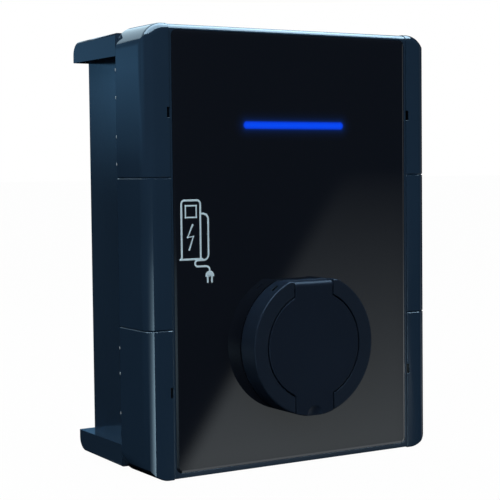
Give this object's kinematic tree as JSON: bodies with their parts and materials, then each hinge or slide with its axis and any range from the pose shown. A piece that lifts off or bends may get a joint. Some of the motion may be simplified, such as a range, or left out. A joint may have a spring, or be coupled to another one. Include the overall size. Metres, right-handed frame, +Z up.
{
  "type": "wall-mounted vehicle charging box",
  "caption": "Wall box for charging electric vehicles: moulded housing with a glossy front panel, lit status bar and a socket outlet behind a sprung round lid with a plug lock.",
  "frame": {"origin": "middle of the wall face, at the centre of the four wall screw holes", "axes": "+X to the right seen from the front, +Y from the front towards the wall, +Z up"},
  "size_m": [0.3, 0.165, 0.39],
  "materials": {
    "housing": "dark petrol blue moulded polycarbonate, fine grain, satin",
    "frame": "dark petrol blue moulded frame, fine grain, satin",
    "strip": "dark petrol blue moulded clip-on strips, satin",
    "panel": "glossy black acrylic panel",
    "light_guide": "translucent blue light guide, lit",
    "socket_housing": "dark blue-grey glass-filled plastic, matte",
    "lid": "dark blue-grey plastic, matte",
    "seal": "black rubber",
    "steel": "zinc-plated steel",
    "spring_steel": "stainless spring wire",
    "contact": "silver-plated brass",
    "insert": "black glass-filled insert",
    "device": "light grey device housing",
    "actuator": "dark grey actuator housing",
    "board": "green lacquered circuit board",
    "component": "black moulded components",
    "chip": "white light-emitting diodes",
    "terminal": "grey feed-through terminals"
  },
  "bodies": {
    "housing": {"rear_shell": "housing", "cover_seal": "seal", "front_cover": "frame", "front_panel": "panel", "light_bar": "light_guide", "right_strip_upper": "strip", "left_strip_upper": "strip", "right_strip_middle": "strip", "left_strip_middle": "strip", "right_strip_lower": "strip", "left_strip_lower": "strip", "socket_ring": "socket_housing", "socket_sleeve": "socket_housing", "hinge_pin": "steel", "socket_gasket": "seal", "socket_screws": "steel", "socket_insert": "insert", "insert_screws": "steel", "power_contacts": "contact", "pilot_contacts": "contact", "lock_actuator": "actuator", "cover_screws": "steel", "led_board": "board", "led_chips": "chip", "controller_board": "board", "board_components": "component", "antenna_board": "board", "board_screws": "steel", "din_rail": "steel", "rail_screws": "steel", "energy_meter": "device", "contactor": "device", "power_supply": "device", "device_screws": "steel", "supply_terminals": "terminal", "current_sensor": "component", "sensor_screws": "steel", "supply_grommet": "seal", "data_grommet": "seal"},
    "lid": {"socket_lid": "lid", "lid_seal": "seal", "lid_spring": "spring_steel"},
    "lock": {"lock_pin": "steel"}
  },
  "joints": [
    {"name": "lid_hinge", "type": "hinge", "parent": "housing", "child": "lid", "pos_m": [0.0045, -0.1601, -0.0334], "axis": [-1, 0, 0], "range_deg": [0, 120], "stiffness_Nm_per_rad": 0.02, "springref_deg": -28.65},
    {"name": "lock_slide", "type": "slide", "parent": "housing", "child": "lock", "axis": [0, 0, -1], "range_m": [0, 0.007]}
  ]
}
